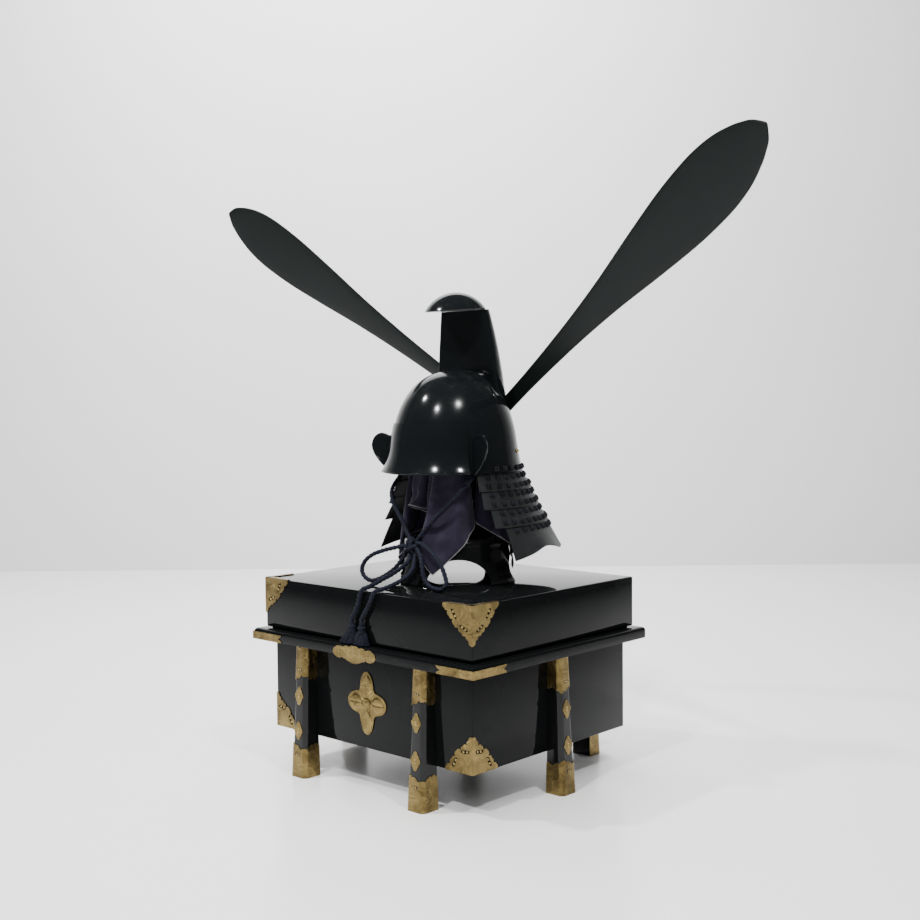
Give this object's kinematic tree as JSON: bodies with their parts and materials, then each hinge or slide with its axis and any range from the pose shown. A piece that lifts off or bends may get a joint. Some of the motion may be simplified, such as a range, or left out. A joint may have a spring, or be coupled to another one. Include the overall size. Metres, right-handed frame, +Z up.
{
  "type": "samurai helmet on a stand and lacquered six-legged chest",
  "caption": "Black lacquered helmet with a hooded crest and long paddle wings, corded in navy, on a post stand and a brass-cornered chest.",
  "frame": {"origin": "on the floor below the middle of the helmet and its two wings, level front to back with the middle of the chest", "axes": "+X to the right as the helmet is seen from its front, +Y to its back, +Z up; the helmet faces -Y"},
  "size_m": [1.406, 0.5386, 1.1888],
  "materials": {
    "helmet_lacquer": "gloss black lacquer over iron and hide",
    "wood_lacquer": "gloss black lacquer over wood",
    "wing_black": "dull black lacquer over thin light wood",
    "brass": "aged gilt brass with fine punched dots",
    "silk_cord": "braided navy silk",
    "crepe_cloth": "purple silk crepe"
  },
  "bodies": {
    "root": {"bowl": "helmet_lacquer", "peak": "helmet_lacquer", "crown_rib": "helmet_lacquer", "crest_column": "helmet_lacquer", "crest_hood": "helmet_lacquer", "wing_socket": "helmet_lacquer", "wing_left": "wing_black", "wing_right": "wing_black", "side_plate_left": "helmet_lacquer", "side_plate_right": "helmet_lacquer", "neck_lame_1": "helmet_lacquer", "neck_lame_2": "helmet_lacquer", "neck_lame_3": "helmet_lacquer", "neck_lame_4": "helmet_lacquer", "chin_cord": "silk_cord", "bow_knot": "silk_cord", "bow_loop_left": "silk_cord", "bow_loop_right": "silk_cord", "cord_tail_left": "silk_cord", "cord_tail_right": "silk_cord", "tassel_left": "silk_cord", "tassel_right": "silk_cord", "stand": "wood_lacquer", "stand_cloth": "crepe_cloth", "chest_body": "wood_lacquer", "chest_ledge": "wood_lacquer", "chest_lid": "wood_lacquer", "leg_front_left": "wood_lacquer", "leg_front_right": "wood_lacquer", "leg_right": "wood_lacquer", "leg_back_right": "wood_lacquer", "leg_back_left": "wood_lacquer", "leg_left": "wood_lacquer", "leg_cap_front_left": "brass", "leg_cap_front_right": "brass", "leg_cap_right": "brass", "leg_cap_back_right": "brass", "leg_cap_back_left": "brass", "leg_cap_left": "brass", "leg_shoe_front_left": "brass", "leg_shoe_front_right": "brass", "leg_shoe_right": "brass", "leg_shoe_back_right": "brass", "leg_shoe_back_left": "brass", "leg_shoe_left": "brass", "lid_corner_front_right": "brass", "lid_corner_front_left": "brass", "body_corner_front_right": "brass", "body_corner_front_left": "brass", "ledge_band_front_right": "brass", "ledge_band_front_left": "brass", "key_plate": "brass", "front_ornament": "brass"}
  },
  "joints": []
}
